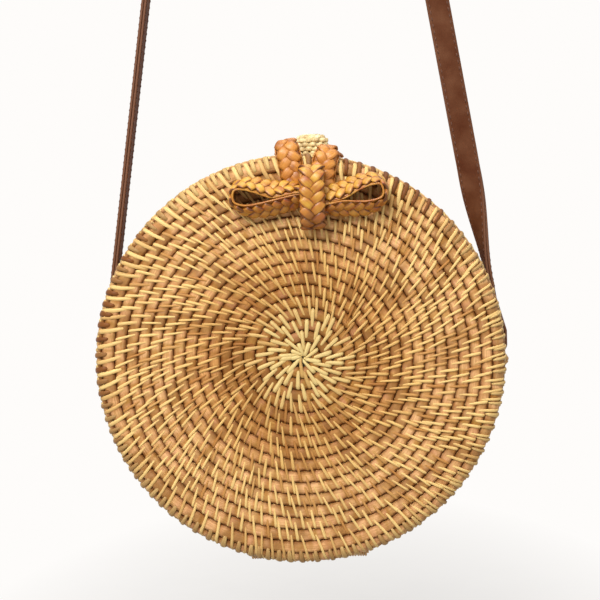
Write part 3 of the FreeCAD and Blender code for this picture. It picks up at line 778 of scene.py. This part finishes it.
# Lining
def lining(side, body, facing, seed):
    """A sewn cloth cup: round floor, side strip, soft puckers along the seam and the turned edge."""
    rng = random.Random(seed)
    waves = [(rng.randint(9, 30), rng.uniform(0, TAU), rng.uniform(0.1, 0.3) * MM) for number in range(5)]
    cup_radius, floor_depth, edge_depth = 93.4 * MM, 33.6 * MM, 1.9 * MM
    thick, slack = 0.7 * MM, 0.4 * MM
    strip = floor_depth - edge_depth
    shares = (0.0, 0.12, 0.3, 0.5, 0.7, 0.85, 0.94, 0.98, 0.995)
    outer = [(cup_radius * share, floor_depth) for share in shares]
    outer += [(cup_radius, floor_depth - strip * step / 8) for step in range(9)]
    inner = [(radius - thick, max(depth - thick, edge_depth)) for radius, depth in outer]
    inner[0] = (0.0, floor_depth - thick)
    chain = outer + [(cup_radius - thick / 2, edge_depth - slack)] + inner[::-1]
    count, size = 160, len(chain)
    verts, faces, grain = [], [], []
    for number in range(count):
        angle = TAU * number / count
        across, upward = math.cos(angle), math.sin(angle)
        pucker = sum(swing * math.sin(times * angle + phase) for times, phase, swing in waves)
        for radius, depth in chain:
            share = (radius / cup_radius) ** 3
            r = radius - 0.3 * MM * share + pucker * share * 0.5
            verts.append((r * across, facing * (depth - slack + 0.4 * pucker * share), r * upward))
            if depth > floor_depth - 1.0 * MM:
                grain.append((radius * across, radius * upward, 0.0))
            else:
                grain.append((cup_radius * angle, depth, 0.0))
        first, second = number * size, (number + 1) % count * size
        for step in range(size - 1):
            faces.append((first + step, first + step + 1, second + step + 1, second + step))
    mesh = new_mesh(f"{side}_lining_cloth", verts, faces)
    give_grain(mesh, grain)
    mesh.materials.append(COTTON)
    hollow = bmesh.new()
    hollow.from_mesh(mesh)
    bmesh.ops.remove_doubles(hollow, verts=hollow.verts, dist=1e-6)
    bmesh.ops.dissolve_degenerate(hollow, edges=hollow.edges, dist=1e-6)
    hollow.to_mesh(mesh)
    hollow.free()
    outward(mesh)
    cloth = settle(link(f"{side}_lining_cloth", mesh), body, "lining_cotton", f"{side}_lining")


lining("front", "front_half", -1.0, 21)
lining("back", "back_half", 1.0, 22)


# Plaited bands
def flat_section(half_width, half_height, edge_shade=None):
    """A flat strand with soft edges; edge_shade, when given, is painted shade on all but its top."""
    corners = [(1.0, 0.0), (0.88, 0.7), (0.5, 1.0), (-0.5, 1.0), (-0.88, 0.7),
               (-1.0, 0.0), (-0.88, -0.7), (-0.5, -1.0), (0.5, -1.0), (0.88, -0.7)]
    return [(half_width * across, half_height * up, edge_shade if up < 1 else None) for across, up in corners]


def plait(shape, points, normals, half_band, pitch, seed=0.0, shade=None, grow=None,
          leaf_thick=1.7 * MM, arch=0.0, lip_half=0.38 * MM, crease_shade=0.02):
    """Fat leaves that come in from both edges by turns and dive under each other along the middle; the base
    strip, the lips, the leaf sides and the leaves' inner ends carry painted shade.
    """
    last = len(points) - 1
    spacing = lengths(points)[-1] / last
    shade = shade or [0.5] * len(points)
    grow = grow or [1.0] * len(points)
    sides, ups = [], []
    for number in range(len(points)):
        tangent = (points[min(number + 1, last)] - points[max(number - 1, 0)]).normalized()
        sides.append(tangent.cross(normals[number]).normalized())
        ups.append(sides[-1].cross(tangent))
    # Painted shade: the base strip shows dark between the leaves.
    base = [(across, up - arch * (across / half_band) ** 2, tint)
            for across, up, tint in flat_section(half_band - 0.6 * MM, 0.4 * MM)]
    shape.sweep(points, normals, base, seed=seed + 2.0, shade=[tint * 0.4 for tint in shade], grow=grow)
    lip_section = round_section(lip_half, 0.5 * MM, 8)
    # Painted shade: the lips along the edges are a little darker.
    for edge in (-1, 1) if lip_half else ():
        lip = [place + side * edge * (half_band - 0.3 * MM) * size - up * arch
               for place, side, up, size in zip(points, sides, ups, grow)]
        shape.sweep(lip, normals, lip_section, seed=seed + edge, shade=[tint * 0.6 for tint in shade])
    # Painted shade in the creases: each leaf's sides and underside take the crease shade value.
    leaf = flat_section(0.5 * pitch, 0.5 * leaf_thick, crease_shade)
    steps = 8
    for number in range(int(last * spacing / pitch)):
        for side in (-1, 1):
            middle, tilted, leaf_shades, widths = [], [], [], []
            for step in range(steps + 1):
                share = step / steps
                along = pitch * (number + 0.25 * side + 1.15 * share)
                spot = min(max(along / spacing, 0.0), last - 0.001)
                low, part = int(spot), spot - int(spot)
                across = side * (1.0 - 0.27 * pitch / half_band - share)
                hump = math.sin(math.pi * (0.2 + 0.8 * share)) - 0.3 * share - 0.1
                up = ups[low].lerp(ups[low + 1], part)
                beside = sides[low].lerp(sides[low + 1], part) * across * half_band * grow[low]
                rise = up * (leaf_thick * hump - arch * across ** 2)
                middle.append(points[low].lerp(points[low + 1], part) + beside + rise)
                tilted.append(up.normalized())
                # Painted shade: each leaf darkens towards its inner end, where it dives under.
                leaf_shades.append(shade[low] * (0.25 + 0.75 * math.sin(math.pi * (0.25 + 0.7 * share))))
                widths.append(0.55 + 0.45 * math.sin(math.pi * (0.15 + 0.75 * share)))
            leaf_seed = seed + number * 0.37 + side * 0.11
            shape.sweep(middle, tilted, leaf, seed=leaf_seed, shade=leaf_shades, grow=widths)


# From here on the named places are in millimetres, as vec() takes them
CLASP_X = 8.3                   # the knob's middle, right of the bag's
BAND_X = 7.1                    # middle between the clasp band's two strands
BAND_TOP = 102.3                # radius of the band's middle over the wall
RIGHT_DROP = 3.4                # the right strand's bend lies lower


def clasp_path():
    """Up the face on the left, over the top edge, low round the knob and back down on the right."""
    front = [
        ((6.4, -41.8, 74.5), (0, -1, 0)),
        ((6.6, -41.8, 84.0), (0, -1, 0)),
        ((8.0, -41.8, 95.0), (0.05, -1, 0)),
        ((9.6, -41.4, 102.0), (0.1, -0.95, 0.3)),
        ((10.2, -38.2, 106.2), (0.15, -0.45, 0.85)),
        ((9.4, -33.0, 104.6), (0.15, 0.3, 1)),
    ]
    rear = [(9.8, -24.0), (11.2, -8.0), (12.8, 4.0), (13.2, 14.0), (11.4, 21.0), (6.0, 25.2), (0.0, 26.4)]
    points, normals = [], []
    for side in (-1, 1):
        rows = []
        for (x, y, z), (out, ahead, up) in front:
            drop = RIGHT_DROP if side > 0 and z > 95 else 0.0
            rows.append((vec(BAND_X + side * x, y, z - drop), Vector((side * out, ahead, up))))
        for x, y in rear:
            across = BAND_X + side * x
            height = math.sqrt(BAND_TOP ** 2 - across ** 2)
            rows.append((vec(across, y, height), Vector((across, 0, height)).normalized()))
        rows = rows if side < 0 else rows[-2::-1]
        points += [place for place, normal in rows]
        normals += [normal.normalized() for place, normal in rows]
    return smooth(points, normals, step=0.6 * MM)


def clasp_band():
    """One plaited band, tied flat under the bow, narrower behind the top edge."""
    band = Shape()
    points, normals = clasp_path()
    grow = [1.0 - 0.26 * between(place.y, -41 * MM, -33 * MM) for place in points]
    plait(band, points, normals, 6.0 * MM, 5.0 * MM, grow=grow, leaf_thick=1.3 * MM, arch=1.6 * MM,
          crease_shade=0.15)
    band = band.make("clasp_band", CLASP_PLAIT)
    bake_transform(band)
    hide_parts("clasp_loop", "clasp_anchor")


clasp_band()

BOW_Z = 79.5
BOW_BACK = -41.2                # a loop's edge against the face
BOW_FRONT = -49.6               # its open front edge
BOW_STEPS = 150
KNOT_X = CLASP_X + 0.7
KNOT_STEPS = 90

# Outlines of the loops from the knot out and back, against the face and along the open front edge
LEFT_BACK = [(1, 3.0), (8, 6.0), (18, 8.8), (27, 9.9), (34.4, 8.2), (36.6, 1.0), (34.0, -6.0), (27, -9.6),
             (18, -8.6), (8, -5.6), (1, -3.5)]
LEFT_FRONT = [(1, 2.2), (8, 1.8), (13, 0.3), (18, -1.9), (20, -1.0), (23, 0.8), (27, 3.0), (31, 4.6),
              (35.6, 4.4), (36.4, 0.8), (35.6, -2.4), (30, -4.0), (25, -2.8), (18.5, -1.1), (13, 0.0),
              (8, 1.1), (1, 1.4)]
RIGHT_BACK = [(1, 3.0), (8, 6.0), (18, 8.8), (27, 9.9), (34.4, 8.6), (36.6, 0.0), (33.5, -6.5), (27, -9.8),
              (18, -10.4), (8, -8.6), (1, -6.0)]
RIGHT_FRONT = [(1, -5.6), (8, -5.0), (12, -4.4), (15.5, -3.6), (18.5, -0.8), (22, 1.7), (27, 4.2),
               (33.4, 6.0), (35.4, 1.5), (34.5, -1.6), (31, -3.0), (27, -3.4), (21.5, -3.0), (15.5, -2.3),
               (12, -3.2), (8, -4.2), (1, -4.8)]


def bow_loop(word, side, reach, back, front):
    """A band bent into a loop: tall against the face, closing to a narrow mouth at its front edge."""
    edges = []
    for chain, y in ((back, BOW_BACK), (front, BOW_FRONT)):
        corners = [vec(KNOT_X + side * x * reach, y, BOW_Z + z) for x, z in chain]
        edges.append(smooth(corners, corners, count=BOW_STEPS + 1)[0])
    points = [(behind + ahead) / 2 for behind, ahead in zip(*edges)]
    normals = []
    for number in range(BOW_STEPS + 1):
        tangent = points[min(number + 1, BOW_STEPS)] - points[max(number - 1, 0)]
        normals.append(tangent.cross(edges[0][number] - edges[1][number]).normalized() * side)
    # Painted shade, partly a browner tone: the lower part of the loop, which faces down, is darker.
    shade = [0.5 - 0.26 * between(number, 70, 90) for number in range(BOW_STEPS + 1)]
    loop = Shape()
    plait(loop, points, normals, 5.2 * MM, 4.6 * MM, seed=side, shade=shade)
    settle(loop.make(f"bow_loop_{word}_plait", BOW_PLAIT), "front_half", "plaited_band", f"bow_loop_{word}")


def bow_knot():
    """A plaited band wrapped round the middle of the bow, on a solid core; its lower end and the core carry
    painted shade.
    """
    # Each row: depth and height of the band, then its outward way
    rows = [((-43.4, 91.5), (-0.2, 1)), ((-47.0, 92.6), (-0.4, 0.9)), ((-51.8, 90.0), (-0.9, 0.4)),
            ((-53.0, 84.0), (-1, 0)), ((-53.0, 75.0), (-1, 0)), ((-51.6, 68.5), (-0.9, -0.4)),
            ((-46.6, 65.0), (-0.4, -0.9)), ((-43.2, 66.0), (-0.2, -1))]
    corners = [vec(KNOT_X, y, z) for (y, z), out in rows]
    outs = [Vector((0, *out)).normalized() for place, out in rows]
    points, normals = smooth(corners, outs, count=KNOT_STEPS)
    # Painted shade, partly a browner tone: the band's lower end, which curls under, is darker.
    shade = [0.5 - 0.4 * between(number, 52, 61) for number in range(KNOT_STEPS)]
    knot = Shape()
    plait(knot, points, normals, 6.4 * MM, 4.8 * MM, seed=5.0, shade=shade, lip_half=0.0)
    # The core's low shade value is painted shade for the hollow inside the wrapped band.
    core = [vec(KNOT_X, -47.5, z) for z in (67.5, 72.0, 79.5, 87.0, 91.0)]
    knot.sweep(core, [FORWARD] * len(core), round_section(5.6 * MM, 4.6 * MM, 14), seed=7.0, shade=0.2)
    settle(knot.make("bow_knot_plait", BOW_PLAIT), "front_half", "plaited_band", "bow_knot")


bow_loop("left", -1, 1.035, LEFT_BACK, LEFT_FRONT)
bow_loop("right", 1, 0.955, RIGHT_BACK, RIGHT_FRONT)
bow_knot()


# Knob
def woven_knob():
    """Rings that go over and under upright stakes, closing over a domed top, on a solid core painted darkest
    as shade in the gaps between the rings.
    """
    knob = Shape()
    knob_y = 12.0
    middle = vec(CLASP_X, knob_y, 0.0)
    stakes = 24
    steps = stakes * 6
    outline = [(7.6 + 0.2 * (number > 0), 101.4 + 2.2 * number) for number in range(4)]
    outline += [(6.6, 109.7), (4.7, 110.1), (2.7, 110.1), (0.9, 110.1)]
    for ring, (radius, height) in enumerate(outline):
        lean = between(height, 108.9, 110.2)
        points, normals = [], []
        for number in range(steps):
            angle = TAU * number / steps
            wave = math.sin(stakes / 2 * angle + math.pi * ring)
            out = radius + 0.75 * wave * (1 - lean)
            x, y = math.cos(angle), math.sin(angle)
            points.append(middle + vec(out * x, out * y, height + 0.4 * wave * lean))
            normals.append(Vector((x, y, lean)).normalized())
        knob.sweep(points, normals, round_section(1.1 * MM, 0.5 * MM, 8), closed=True, seed=ring * 0.7)
    # Height and width of the core, from its foot to its top
    core = [(100.6, 0.95), (101.5, 1.0), (104.0, 1.0), (107.5, 1.0), (108.9, 0.97), (109.7, 0.86),
            (109.9, 0.3)]
    # Painted shade: the core is darkest, so the gaps between the rings read as shade.
    knob.sweep([vec(CLASP_X, knob_y, z) for z, width in core], [FORWARD] * len(core),
               round_section(7.4 * MM, 7.4 * MM, 32), grow=[width for z, width in core], seed=30.0, shade=0.0)
    settle(knob.make("clasp_knob_weave", KNOB_STRAW), "back_half", "binding_straw", "clasp_knob")


woven_knob()

# Wound pieces: strap rings and hinge eyes
STRAP_Y = 19.4                  # middle of the strap's width
RING_X = 103.8
RING_Z = -8.0
RING_HALF = 9.4                 # half the ring's opening
RING_WIRE = 1.4
RING_WRAP = 1.3                 # one turn of the winding
HINGE_X = 22.0                  # middle of each rod from the bag's middle
HINGE_Z = -104.6
EYE_APART = 5.4                 # back eyes on each side of the front one
EYE_TURNS = 4
EYE_RADIUS = 2.4
SPLINT = 1.26                   # one turn of splint beside the next


def strap_ring(word, side):
    """A half ring with its legs through the wall, wound with splint: one ridge for each turn."""
    leg = [(95.0, RING_Z - 1.0), (103.4, RING_Z - 3.4), (106.2, RING_Z - 0.6)]
    corners = [vec(side * x, STRAP_Y - RING_HALF, z) for x, z in leg]
    for step in range(1, 12):
        angle = math.pi * step / 12
        y, z = STRAP_Y - RING_HALF * math.cos(angle), RING_Z + RING_HALF * math.sin(angle)
        corners.append(vec(side * RING_X, y, z))
    corners += [vec(side * x, STRAP_Y + RING_HALF, z) for x, z in reversed(leg)]
    points, normals = smooth(corners, [Vector((0.2, 0, 1))] * len(corners), 0.22 * MM)
    ridges = [abs(math.sin(math.pi * place / (RING_WRAP * MM))) for place in lengths(points)]
    grow = [1.0 - 0.14 * (1 - ridge) for ridge in ridges]
    ring = Shape()
    ring.sweep(points, normals, round_section(RING_WIRE * MM, RING_WIRE * MM, 12), grow=grow)
    winding = ring.make(f"strap_ring_{word}_winding", WOUND_STRAW)
    settle(winding, "back_half", "binding_straw", f"strap_ring_{word}")


def hinge_wraps(name, body, side, middles, node):
    """Turns of splint that go round the rod and through the mouth row above it."""
    turns = [math.pi * (1 + step / 8) for step in range(9)]
    loop = [(EYE_RADIUS * math.cos(turn), HINGE_Z + EYE_RADIUS * math.sin(turn)) for turn in turns]
    outer, inner = [(5.6 * side, -97.5), (5.6 * side, -100.0)], [(0.9 * side, -101.0), (0.9 * side, -97.5)]
    if side < 0:
        loop = outer + loop + inner
    else:
        loop = inner[::-1] + [(-EYE_RADIUS, HINGE_Z + 1.0), (-EYE_RADIUS, HINGE_Z)] + loop[1:] + outer[::-1]
    eye = Shape()
    for middle in middles:
        for number in range(EYE_TURNS):
            x = middle + (number - (EYE_TURNS - 1) / 2) * SPLINT
            corners = [vec(x, y, z) for y, z in loop]
            points, normals = smooth(corners, [Vector((1, 0, 0))] * len(corners), 0.5 * MM)
            eye.sweep(points, normals, round_section(0.66 * MM, 0.6 * MM, 8), seed=number * 0.9)
    settle(eye.make(name, WOUND_STRAW), body, "binding_straw", node)


for word, side in SIDES:
    strap_ring(word, side)
for word, side in SIDES:
    x = HINGE_X * side
    hinge_wraps(f"front_hinge_{word}_wraps", "front_half", -1, [x], f"front_hinge_eye_{word}")
    hinge_wraps(f"back_hinge_{word}_wraps", "back_half", 1, [x - EYE_APART, x + EYE_APART],
                f"back_hinge_eyes_{word}")

# Strap
LEAN = math.radians(9.1)        # each strand's lean from upright
LAYER = 1.4                     # one layer of leather
STRAP_HALF = 5.95               # half the strap's width
JOIN_X, JOIN_Z = 100.6, 23.1    # where the two layers meet above the ring
STRAND = 445.63                 # from the join to the bend at the top
ARCH = 30.5                     # radius of that bend
EYE_OUT = RING_WIRE + 0.3 + LAYER / 2
PART_Z, FOLD_Z = 3.1, -1.31     # where the layers are apart, and where they bend round the ring
RIVET_RISE = 7.0                # rivet above the join
SEAM_OUT = 4.6                  # row of sewing from the strap's middle
SEAM_PITCH = 3.4
SEAM_HALF = 1.1                 # half of one stitch


def twist_at(side, along):
    """The right strand turns its face to the front and back again."""
    if side < 0:
        return 0.0
    share = between(along, 11, 82) if along < 100 else 1.0 - between(along, 210, 320)
    return math.pi / 2 * eased(share)


def strand_place(side, along):
    """A place on one strand, with its face normal and its width way."""
    place = vec(side * (JOIN_X - along * math.sin(LEAN)), STRAP_Y, JOIN_Z + along * math.cos(LEAN))
    direction = Vector((-side * math.sin(LEAN), 0, math.cos(LEAN)))
    turn = Matrix.Rotation(twist_at(side, along), 3, direction)
    return place, turn @ Vector((side * math.cos(LEAN), 0, math.sin(LEAN))), turn @ BACKWARD


def strap_line():
    """Middle line from the left join over the arch to the right join: (place, face normal, width way)."""
    steps, arch_steps = 150, 40
    rows = [strand_place(-1, STRAND * number / steps) for number in range(steps + 1)]
    arch_z = JOIN_Z + STRAND * math.cos(LEAN) - ARCH * math.sin(LEAN)
    for number in range(1, arch_steps):
        angle = math.pi - LEAN - (math.pi - 2 * LEAN) * number / arch_steps
        normal = Vector((math.cos(angle), 0, math.sin(angle)))
        rows.append((vec(0, STRAP_Y, arch_z) + normal * ARCH * MM, normal, BACKWARD))
    rows += [strand_place(1, STRAND * number / steps) for number in range(steps, -1, -1)]
    return rows


def fold(side):
    """The layer's way round the ring, from the outer face to the inner one."""
    straight = [PART_Z + 3, PART_Z, FOLD_Z]
    way = [(RING_X + EYE_OUT, z) for z in straight]
    for step in range(1, 10):
        angle = math.pi * step / 10
        way.append((RING_X + EYE_OUT * math.cos(angle), FOLD_Z - EYE_OUT * math.sin(angle)))
    way += [(RING_X - EYE_OUT, z) for z in reversed(straight)]
    return [vec(side * x, STRAP_Y, z) for x, z in way]


def strap_leather(line):
    """One strip sewn into a closed loop: out along the outer layer, back along the inner one."""
    off = (LAYER / 2 + 0.03) * MM
    outer = [place + normal * off for place, normal, wide in line]
    inner = [place - normal * off for place, normal, wide in reversed(line)]
    wides = [wide for place, normal, wide in line]
    right, left = fold(1), fold(-1)[::-1]
    points = outer + right + inner + left
    sides = wides + [BACKWARD] * len(right) + wides[::-1] + [BACKWARD] * len(left)
    normals = []
    for number in range(len(points)):
        tangent = points[(number + 1) % len(points)] - points[number - 1]
        normals.append(sides[number].cross(tangent).normalized())
    half, thick, edge = STRAP_HALF * MM, (LAYER / 2 - 0.03) * MM, 0.4 * MM
    # The edges' shade values paint them paler: a painted highlight along the border.
    bevel = [(half - 3 * edge, thick, 0.0), (half - edge, thick, 0.35), (half, thick - edge, 1.0)]
    section = [(-across, -up, tint) for across, up, tint in reversed(bevel)]
    section += [(across, -up, tint) for across, up, tint in bevel]
    section += [(across, up, tint) for across, up, tint in reversed(bevel)]
    section += [(-across, up, tint) for across, up, tint in bevel]
    leather = Shape()
    leather.sweep(points, normals, section, closed=True)
    settle(leather.make("shoulder_strap_leather", LEATHER), "strap", "strap_leather", "shoulder_strap")


def strap_sewing(line):
    """A row of stitches along both edges of both faces, each with its ends in the leather."""
    sewing = Shape()
    thread = round_section(0.3 * MM, 0.28 * MM, 5)
    for edge in (-1, 1):
        for face in (-1, 1):
            ups = [normal * face for place, normal, wide in line]
            row = [place + wide * edge * SEAM_OUT * MM + normal * face * (LAYER + 0.02) * MM
                   for place, normal, wide in line]
            places = lengths(row)
            for number in range(1, int(places[-1] / (SEAM_PITCH * MM))):
                middle = number * SEAM_PITCH * MM
                up = ups[min(bisect.bisect_left(places, middle), len(ups) - 1)]
                stitch = []
                for along, rise in ((-SEAM_HALF, -0.25), (0.0, 0.1), (SEAM_HALF, -0.25)):
                    end, share = spot_at(places, middle + along * MM)
                    stitch.append(row[end - 1].lerp(row[end], share) + up * rise * MM)
                sewing.sweep(stitch, [up] * len(stitch), thread, seed=number * 0.13)
    settle(sewing.make("strap_sewing", THREAD), "strap", "strap_leather")


def rivet(word, side):
    """A domed cap with a rolled edge on each face of the strap."""
    middle = strand_place(side, RIVET_RISE)[0]
    axis = Vector((side * math.cos(LEAN), 0, math.sin(LEAN)))
    # Radius and height of the cap from its foot to its top
    dome = [(2.9, -0.1), (3.2, 0.051), (3.2, 0.252), (2.9, 0.423), (2.6, 0.404), (2.1, 0.555), (1.3, 0.666),
            (0.4, 0.707)]
    caps = Shape()
    for face in (-1, 1):
        line = [middle + axis * face * (LAYER + height) * MM for radius, height in dome]
        caps.sweep(line, [BACKWARD] * len(line), round_section(1.0 * MM, 1.0 * MM, 28),
                   grow=[radius for radius, height in dome])
    settle(caps.make(f"strap_rivet_{word}_caps", BRASS), "strap", "rivet_brass", f"strap_rivet_{word}")


middle_line = strap_line()
strap_leather(middle_line)
strap_sewing(middle_line)
for word, side in SIDES:
    rivet(word, side)

# CAD pieces whose shape is right
for node in ("hinge_rod_left", "hinge_rod_right", "knob_peg", "bow_lashing"):
    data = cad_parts[node].data
    data.materials.clear()
    data.materials.append(CANE)

# Stage
FLOOR_DROP = 0.13               # metres from the bag to the floor, room for the open half
FLOOR_REACH = 3.0
WHITE = colour("fefcfa")


def backdrop():
    """Even light from all round, seen as white."""
    world = bpy.data.worlds.new("studio")
    bpy.context.scene.world = world
    world.use_nodes = True
    net = Net(world.node_tree)
    net.tree.nodes.clear()
    ambient = net.add("ShaderNodeBackground", {"Color": (1.0, 0.99, 0.98, 1.0), "Strength": 0.43})
    white = net.add("ShaderNodeBackground", {"Color": WHITE, "Strength": 1.0})
    mixed = net.add("ShaderNodeMixShader", {0: net.seen(), 1: ambient, 2: white})
    net.plug(net.tree.nodes.new("ShaderNodeOutputWorld").inputs["Surface"], mixed)


def floor():
    """Pale paper below the hanging bag, which keeps its shadow and goes over to white further out."""
    level = cad_box[0][2] - FLOOR_DROP
    corners = [(x * FLOOR_REACH, y * FLOOR_REACH, level) for x, y in ((-1, -1), (1, -1), (1, 1), (-1, 1))]
    mesh = new_mesh("floor", corners, [(0, 1, 2, 3)])
    paint = Paint("floor_paper", Roughness=0.9)
    place = paint.place()
    paint.set("Base Color", paint.ramp(paint.noise(place, 40.0), (0.3, "a9a6a1"), (0.7, "b0ada8")))
    white = paint.add("ShaderNodeEmission", {"Color": WHITE, "Strength": 1.0})
    stretched = paint.scaled(place, (2.2, 1.0, 1.0))
    distance = paint.add("ShaderNodeVectorMath", {0: stretched}, out="Value", operation="LENGTH")
    share = paint.times(paint.seen(), paint.spread(distance, 0.3, 0.75, 0.58, 1.0))
    mixed = paint.add("ShaderNodeMixShader", {0: share, 1: paint.shader.outputs[0], 2: white})
    paint.plug(paint.tree.nodes["Material Output"].inputs["Surface"], mixed)
    mesh.materials.append(paint.material)
    link("floor", mesh)


def lamps():
    """A soft key from the front left, a weak fill from the right and a broad light from above."""
    aim = Vector((0, 0, 0.05))
    for name, place, size, power in (
            ("key", (-0.36, -0.95, 0.8), 0.55, 16.2),
            ("fill", (1.0, -1.2, 0.8), 1.2, 3.0),
            ("top", (0.1, 0.1, 1.6), 1.2, 12.0)):
        lamp = bpy.data.lights.new(name, "AREA")
        lamp.size = size
        lamp.energy = power
        obj = link(name, lamp)
        obj.location = place
        obj.rotation_euler = (aim - Vector(place)).to_track_quat("-Z", "Y").to_euler()


def camera():
    """The photograph's view: nearly level, a little from the right, close, and slightly rolled."""
    azimuth, elevation, roll = math.radians(1.75), math.radians(4.5), math.radians(2.1)
    distance, frame_width, sensor = 0.6, 0.2878, 36.0
    aim = Vector((0.0012, -0.040, 0.0299))
    away = Vector((math.sin(azimuth) * math.cos(elevation), -math.cos(azimuth) * math.cos(elevation),
                   math.sin(elevation)))
    data = bpy.data.cameras.new("camera")
    data.sensor_width = sensor
    data.lens = sensor * distance / frame_width
    obj = link("camera", data)
    obj.location = aim + away * distance
    level = (-away).to_track_quat("-Z", "Y").to_matrix()
    obj.rotation_euler = (level @ Matrix.Rotation(-roll, 3, "Z")).to_euler()
    bpy.context.scene.camera = obj


backdrop()
floor()
lamps()
camera()
bpy.context.scene.view_settings.view_transform = "Standard"
